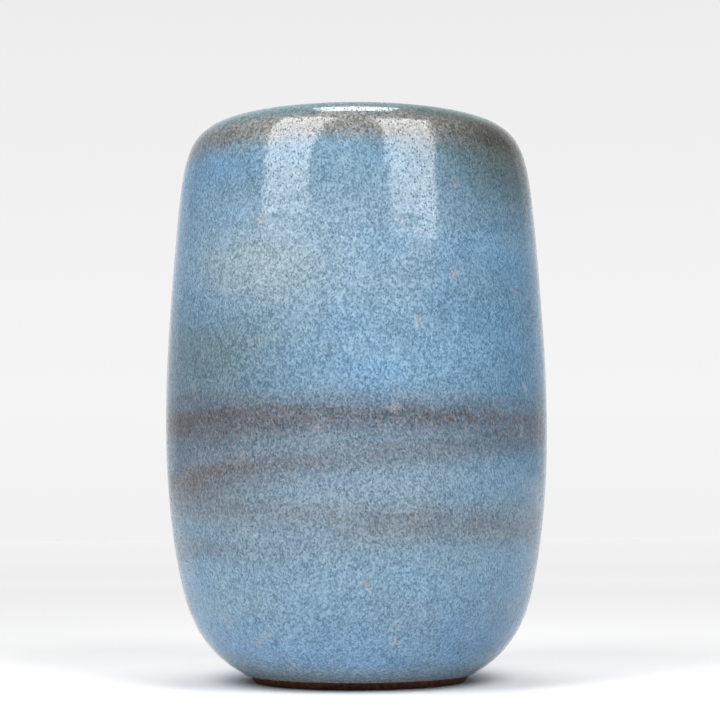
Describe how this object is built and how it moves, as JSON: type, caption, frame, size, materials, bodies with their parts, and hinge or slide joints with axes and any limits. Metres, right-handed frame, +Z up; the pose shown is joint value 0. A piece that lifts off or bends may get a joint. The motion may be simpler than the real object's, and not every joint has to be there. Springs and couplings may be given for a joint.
{
  "type": "vase",
  "caption": "Wheel-thrown stoneware vase with a full belly, rounded shoulder and low lip, in speckled blue glaze with a brown-grey shoulder, brushed oxide bands and a bare dark foot.",
  "frame": {"origin": "centre of the foot ring's resting face, on the vase's axis", "axes": "+Z up along the vase's axis of revolution, out of the mouth; the side that was pictured faces -Y"},
  "size_m": [0.148, 0.148, 0.22],
  "materials": {
    "fired_clay": "bare dark brown stoneware, matt and slightly gritty",
    "blue_glaze": "semi-gloss mid blue glaze with fine dark and pale speckle and soft brown brushed bands",
    "brown_grey_glaze": "semi-gloss brown-grey glaze with fine speckle",
    "liner_glaze": "smooth semi-gloss grey-blue glaze"
  },
  "bodies": {
    "root": {"stoneware_body": "fired_clay", "body_glaze": "blue_glaze", "shoulder_glaze": "brown_grey_glaze", "liner_glaze": "liner_glaze"}
  },
  "joints": []
}
